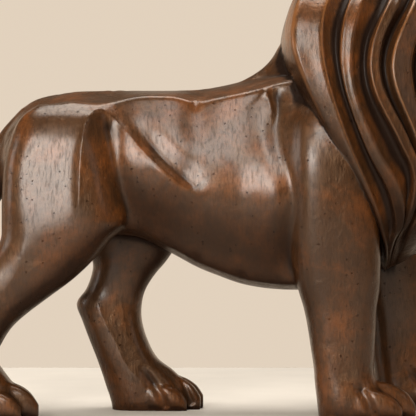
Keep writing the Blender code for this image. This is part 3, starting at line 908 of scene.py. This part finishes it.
def patina(look):
    material = bpy.data.materials.new("patinated_bronze")
    material.use_nodes = True
    tree = material.node_tree
    shader = tree.nodes["Principled BSDF"]
    shader.inputs["Metallic"].default_value = look.metallic
    shader.inputs["Specular Tint"].default_value = METAL_TINT
    shader.inputs["Coat Tint"].default_value = WAX_TINT
    shader.inputs["Coat Roughness"].default_value = look.wax_roughness
    shader.inputs["Coat IOR"].default_value = WAX_IOR
    place = node(tree, "ShaderNodeTexCoord", (-1900, 0)).outputs["Object"]
    patches = noise(tree, place, (-1500, 500), *PATCHES)
    mottle = noise(tree, place, (-1500, 250), *MOTTLE)
    grain = noise(tree, place, (-1500, 0), *GRAIN)
    drawn = stretched(tree, place, (-1700, -300), STREAK_STRETCH, STREAK_LEAN)
    streaks = noise(tree, drawn, (-1500, -250), *STREAKS)
    edge = attribute(tree, "edge", (-1500, -500))
    form = attribute(tree, "form", (-1500, -700))

    pits = node(tree, "ShaderNodeTexVoronoi", (-1500, -950))
    pits.inputs["Scale"].default_value = PIT_SCALE
    tree.links.new(place, pits.inputs["Vector"])
    spots = ramp(tree, pits.outputs["Distance"], (-1250, -950), 0.09, 0.24, 0.0, 1.0)
    tone = node(tree, "ShaderNodeSeparateColor", (-1250, -1100))
    tree.links.new(pits.outputs["Color"], tone.inputs["Color"])
    few = ramp(tree, tone.outputs["Red"], (-1050, -1100), *PIT_SHARE)
    pitted = sums(tree, "MAXIMUM", spots, few, (-900, -950))

    ragged = sums(tree, "MULTIPLY", mottle, 0.45, (-1300, 300))
    rubbed = sums(tree, "ADD", patches, ragged, (-1150, 420))
    rubbed = ramp(tree, rubbed, (-1000, 420), 0.62, 0.98)
    colour = blended(tree, rubbed, look.dark, look.warm, (-800, 420))
    streaked = ramp(tree, streaks, (-1150, -250), 0.42, 0.7, 0.0, 0.5)
    colour = blended(tree, streaked, colour, look.soot, (-600, 420))
    broken = sums(tree, "MULTIPLY", mottle, 0.5, (-1300, -400))
    worn = sums(tree, "ADD", edge, broken, (-1150, -450))
    worn = ramp(tree, worn, (-1000, -450), 0.85, 1.3)
    colour = blended(tree, worn, colour, look.rubbed, (-400, 420))
    # Painted shade: broad hollows are darkened towards the groove colour
    sunk = ramp(tree, sums(tree, "MULTIPLY", form, -1.0, (-1300, -700)), (-1150, -700), 0.12, 0.75)
    colour = blended(tree, sunk, colour, look.groove, (-200, 420))
    # Painted shade: points that look down are darkened towards the groove colour, and lose shine too
    under = attribute(tree, "under", (-1500, -850))
    shade = sums(tree, "MULTIPLY", under, UNDER_SHADE_AND_DULL, (-1150, -850))
    colour = blended(tree, shade, colour, look.groove, (0, 420))
    tree.links.new(colour, shader.inputs["Base Color"])

    hollow = sums(tree, "MULTIPLY", sunk, HOLLOW_DULL, (-800, -700))
    dull = sums(tree, "MAXIMUM", hollow, shade, (-600, -700))
    holes = sums(tree, "SUBTRACT", 1.0, pitted, (-750, -950))
    holes = sums(tree, "MULTIPLY", holes, PIT_DULL, (-600, -950))
    dull = sums(tree, "MAXIMUM", dull, holes, (-520, -800))
    brushed = ramp(tree, streaks, (-1150, -350), 0.48, 0.64, 0.0, STREAK_DULL)
    dull = sums(tree, "MAXIMUM", dull, brushed, (-500, -900))
    bright = sums(tree, "SUBTRACT", 1.0, dull, (-450, -700))
    for name, share in (("Coat Weight", look.wax), ("Specular IOR Level", look.shine)):
        tree.links.new(sums(tree, "MULTIPLY", bright, share, (-250, -600)), shader.inputs[name])

    satin = ramp(tree, mottle, (-800, 0), 0.3, 0.75, 0.3, 0.46)
    rough = sums(tree, "ADD", satin, ramp(tree, sunk, (-800, -120), 0, 1, 0, 0.25), (-500, 0))
    tree.links.new(rough, shader.inputs["Roughness"])

    worked = noise(tree, place, (-1500, -1250), *WORKED)
    height = sums(tree, "MULTIPLY", worked, WORKED_HEIGHT, (-900, -1250))
    finer = ((streaks, STREAK_HEIGHT), (mottle, MOTTLE_HEIGHT), (grain, GRAIN_HEIGHT), (pitted, PIT_DEPTH))
    for level, (value, share) in enumerate(finer):
        part = sums(tree, "MULTIPLY", value, share, (-900, -1350 - 100 * level))
        height = sums(tree, "ADD", height, part, (-700 + 100 * level, -1250))
    bump = node(tree, "ShaderNodeBump", (-250, -900))
    bump.inputs["Strength"].default_value = 1.0
    bump.inputs["Distance"].default_value = look.relief
    tree.links.new(height, bump.inputs["Height"])
    tree.links.new(bump.outputs["Normal"], shader.inputs["Normal"])
    return material


def plain(name, colour, roughness, mottled):
    """A pale matt surface with a faint mottle."""
    material = bpy.data.materials.new(name)
    material.use_nodes = True
    tree = material.node_tree
    shader = tree.nodes["Principled BSDF"]
    place = node(tree, "ShaderNodeTexCoord", (-900, 0)).outputs["Object"]
    cloud = noise(tree, place, (-700, 0), 9, 5, 0.6)
    share = ramp(tree, cloud, (-500, 0), 0.3, 0.7)
    darker = tuple(c * (1 - mottled) for c in colour[:3])
    tree.links.new(blended(tree, share, colour, darker, (-300, 0)), shader.inputs["Base Color"])
    shader.inputs["Roughness"].default_value = roughness
    return material


def studio(wall, room):
    """A pale wall behind the lion that falls off to the dimmer room in front of it."""
    world = bpy.data.worlds.new("studio")
    world.use_nodes = True
    tree = world.node_tree
    toward = node(tree, "ShaderNodeSeparateXYZ", (-700, 0))
    tree.links.new(node(tree, "ShaderNodeTexCoord", (-900, 0)).outputs["Generated"], toward.inputs[0])
    share = ramp(tree, toward.outputs["Y"], (-500, 0), -0.5, 0.85)
    lit = ramp(tree, toward.outputs["Z"], (-500, -250), 0.22, 0.55, 1.0, 0.0)
    share = sums(tree, "MULTIPLY", share, lit, (-400, 0))
    tree.links.new(blended(tree, share, room, wall, (-250, 0)), tree.nodes["Background"].inputs["Color"])
    return world


# Settings


class LionForm(bpy.types.PropertyGroup):
    clay: bpy.props.FloatProperty(
        name="Clay fineness", description="Size of the voxels the body is melted in",
        default=0.0013, min=0.0008, max=0.004, precision=4, unit="LENGTH", subtype="DISTANCE",
    )
    face_clay: bpy.props.FloatProperty(
        name="Face fineness", description="Size of the voxels the head is melted in",
        default=0.0010, min=0.0006, max=0.004, precision=4, unit="LENGTH", subtype="DISTANCE",
    )
    body_faces: bpy.props.IntProperty(
        name="Body faces", description="Triangles kept in the body, legs and tail",
        default=118000, min=20000,
    )
    head_faces: bpy.props.IntProperty(
        name="Head faces", description="Triangles kept in the head", default=24000, min=4000,
    )


class LionPatina(bpy.types.PropertyGroup):
    dark: bpy.props.FloatVectorProperty(
        name="Dark patina", description="Colour of most of the casting", subtype="COLOR",
        default=(0.050, 0.0205, 0.0074), min=0, max=1,
    )
    warm: bpy.props.FloatVectorProperty(
        name="Warm patina", description="Colour of the rubbed patches", subtype="COLOR",
        default=(0.14, 0.044, 0.009), min=0, max=1,
    )
    rubbed: bpy.props.FloatVectorProperty(
        name="Rubbed edge", description="Colour of edges worn by handling", subtype="COLOR",
        default=(0.2, 0.08, 0.026), min=0, max=1,
    )
    soot: bpy.props.FloatVectorProperty(
        name="Streak", description="Colour of the dark brush streaks", subtype="COLOR",
        default=(0.026, 0.014, 0.008), min=0, max=1,
    )
    # The groove colour is painted shade: hollows and undersides are darkened towards it
    groove: bpy.props.FloatVectorProperty(
        name="Groove", description="Colour left in hollows", subtype="COLOR",
        default=(0.012, 0.006, 0.004), min=0, max=1,
    )
    metallic: bpy.props.FloatProperty(
        name="Metallic", description="How much bare metal shows through", default=0.2, min=0, max=1,
        subtype="FACTOR",
    )
    shine: bpy.props.FloatProperty(
        name="Shine", description="How much the patina itself reflects", default=0.32, min=0, max=1,
        subtype="FACTOR",
    )
    wax: bpy.props.FloatProperty(
        name="Wax", description="Strength of the wax over the patina", default=0.6, min=0, max=1,
        subtype="FACTOR",
    )
    wax_roughness: bpy.props.FloatProperty(
        name="Wax roughness", description="How dull the wax is", default=0.24, min=0, max=1,
        subtype="FACTOR",
    )
    relief: bpy.props.FloatProperty(
        name="Hand marks", description="Depth of the worked texture", default=0.0013, min=0, max=0.005,
        precision=4, unit="LENGTH", subtype="DISTANCE",
    )


class LionStage(bpy.types.PropertyGroup):
    floor: bpy.props.FloatVectorProperty(
        name="Floor", description="Colour of the floor", subtype="COLOR",
        default=(0.86, 0.79, 0.70), min=0, max=1,
    )
    wall: bpy.props.FloatVectorProperty(
        name="Wall", description="Colour behind the lion", subtype="COLOR",
        default=(0.76, 0.64, 0.51), min=0, max=1,
    )
    room: bpy.props.FloatVectorProperty(
        name="Room", description="Colour of the room in front of the lion", subtype="COLOR",
        default=(0.075, 0.06, 0.045), min=0, max=1,
    )
    floor_size: bpy.props.FloatProperty(
        name="Floor size", description="Side of the floor", default=6.0, min=1, unit="LENGTH",
        subtype="DISTANCE",
    )
    floor_behind: bpy.props.FloatProperty(
        name="Floor behind", description="How far the floor runs behind the lion", default=0.62, min=0.3,
        unit="LENGTH", subtype="DISTANCE",
    )


# Operators


class LION_OT_body(bpy.types.Operator):
    """Models the trunk, legs, paws and tail as one carved skin"""

    bl_idname = "lion.body"
    bl_label = "Lion Body"

    def execute(self, context):
        voxel = context.scene.lion_form.clay
        forms = [
            skin("trunk", [upright_ring(row, 9) for row in curve_through(TRUNK, SLICES)]),
            skin("nape", [upright_ring(row, 7) for row in curve_through(NAPE, 40)]),
            skin("near_hind", level_rings(NEAR_HIND, RIGHT)),
            skin("far_hind", level_rings(FAR_HIND, LEFT)),
            skin("near_fore", level_rings(NEAR_FORE, RIGHT)),
            skin("far_fore", level_rings(FAR_FORE, LEFT)),
            tail_form(),
        ]
        for paw in PAWS:
            forms += toe_forms(paw)
        body = melted("lion_body", forms, voxel)
        flowed(body, voxel)
        pressed(body.data)
        carved(body.data, STROKES, (RIGHT, LEFT))
        carved(body.data, NEAR_STROKES, (RIGHT,))
        carved(body.data, FAR_STROKES, (LEFT,))
        for side, heel, *_ in PAWS:
            carved(body.data, paw_strokes(heel), (side,))
        points = grid_points(body.data)
        points[points[:, 2] < SOLE, 2] = 0.0
        put_points(body.data, points)
        applied(body, "DECIMATE", ratio=context.scene.lion_form.body_faces / triangles(body))
        return {"FINISHED"}


class LION_OT_mane(bpy.types.Operator):
    """Models the mane's nested locks as a mirrored sheet"""

    bl_idname = "lion.mane"
    bl_label = "Lion Mane"

    def execute(self, context):
        mane = mane_form(9, 7, 150)
        mane.name = "lion_mane"
        return {"FINISHED"}


class LION_OT_head(bpy.types.Operator):
    """Models the head with its ears, brows, muzzle and mouth"""

    bl_idname = "lion.head"
    bl_label = "Lion Head"

    def execute(self, context):
        forms = [
            skin(name, [upright_ring(row, 7) for row in curve_through(rows, 60)])
            for name, rows in (("skull", SKULL), ("muzzle", MUZZLE), ("nose", NOSE), ("jaw", JAW))
        ]
        for side in (RIGHT, LEFT):
            forms.append(ear_form(side))
            for x, y, z, *half in FACE_FORMS:
                forms.append(dome_form((x, side * y, z), half))
        head = melted("lion_head", forms, context.scene.lion_form.face_clay)
        applied(head, "SMOOTH", factor=0.5, iterations=7)
        carved(head.data, FACE_STROKES, (RIGHT, LEFT))
        applied(head, "DECIMATE", ratio=context.scene.lion_form.head_faces / triangles(head))
        return {"FINISHED"}


class LION_OT_casting(bpy.types.Operator):
    """Joins body, mane and head into one casting and gives it its patina"""

    bl_idname = "lion.casting"
    bl_label = "Lion Casting"

    def execute(self, context):
        casting = bpy.data.objects["lion_body"]
        for name in ("lion_mane", "lion_head"):
            tool = bpy.data.objects[name]
            applied(casting, "BOOLEAN", operation="UNION", solver="MANIFOLD", object=tool)
            bpy.data.objects.remove(tool)
        casting.name = "lion_casting"
        casting.vertex_groups.clear()
        fitted(casting.data, SOLID_LOW, SOLID_HIGH)
        softened(casting.data)
        mark_relief(casting.data)
        select_only(casting)
        bpy.ops.object.shade_smooth()
        casting.data.materials.clear()
        casting.data.materials.append(patina(context.scene.lion_patina))
        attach(casting, "root")
        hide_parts("lion")
        print("casting", triangles(casting), "triangles")
        return {"FINISHED"}


class LION_OT_stage(bpy.types.Operator):
    """Lays the floor and sets the lights, the wall's colour and the photograph's camera"""

    bl_idname = "lion.stage"
    bl_label = "Stage"

    def execute(self, context):
        stage = context.scene.lion_stage
        bpy.ops.object.select_all(action="DESELECT")
        bpy.ops.mesh.primitive_plane_add(size=stage.floor_size)
        floor = context.object
        floor.name = "floor"
        for vertex in floor.data.vertices:
            vertex.co.y += stage.floor_behind - stage.floor_size / 2
        floor.data.materials.append(plain("pale_stone", stage.floor, 0.6, 0.06))
        target = Vector((0, 0, 0.2))
        for name, spot, size, power, colour in SOFTBOXES:
            bpy.ops.object.light_add(type="AREA", location=spot)
            lamp = context.object
            lamp.name = name
            lamp.data.size = size
            lamp.data.energy = power
            lamp.data.color = colour
            lamp.rotation_euler = (target - Vector(spot)).to_track_quat("-Z", "Y").to_euler()
        context.scene.world = studio(stage.wall, stage.room)
        bpy.ops.object.camera_add(
            location=[c * UNIT for c in CAMERA_PLACE], rotation=(math.radians(CAMERA_TILT), 0, 0)
        )
        camera = context.object
        camera.data.sensor_width = 36
        camera.data.lens = 36 * CAMERA_PIXELS / FRAME_PIXELS
        camera.data.clip_end = 50
        context.scene.camera = camera
        context.scene.view_settings.view_transform = "Standard"
        return {"FINISHED"}


class LION_PT_panel(bpy.types.Panel):
    """Lists the stages of the lion and their settings"""

    bl_label = "Bronze Lion"
    bl_idname = "LION_PT_panel"
    bl_space_type = "VIEW_3D"
    bl_region_type = "UI"
    bl_category = "Bronze Lion"

    def draw(self, context):
        layout = self.layout
        for group in ("lion_form", "lion_patina", "lion_stage"):
            settings = getattr(context.scene, group)
            box = layout.box()
            for key in settings.__annotations__:
                box.prop(settings, key)
        for operator in (LION_OT_stage, LION_OT_body, LION_OT_mane, LION_OT_head, LION_OT_casting):
            layout.operator(operator.bl_idname)


CLASSES = (
    LionForm,
    LionPatina,
    LionStage,
    LION_OT_stage,
    LION_OT_body,
    LION_OT_mane,
    LION_OT_head,
    LION_OT_casting,
    LION_PT_panel,
)


def register():
    for item in CLASSES:
        bpy.utils.register_class(item)
    bpy.types.Scene.lion_form = bpy.props.PointerProperty(type=LionForm)
    bpy.types.Scene.lion_patina = bpy.props.PointerProperty(type=LionPatina)
    bpy.types.Scene.lion_stage = bpy.props.PointerProperty(type=LionStage)


def unregister():
    del bpy.types.Scene.lion_stage
    del bpy.types.Scene.lion_patina
    del bpy.types.Scene.lion_form
    for item in reversed(CLASSES):
        bpy.utils.unregister_class(item)


def main():
    register()
    bpy.ops.lion.stage()
    bpy.ops.lion.body()
    bpy.ops.lion.mane()
    bpy.ops.lion.head()
    bpy.ops.lion.casting()


if __name__ == "__main__":
    main()
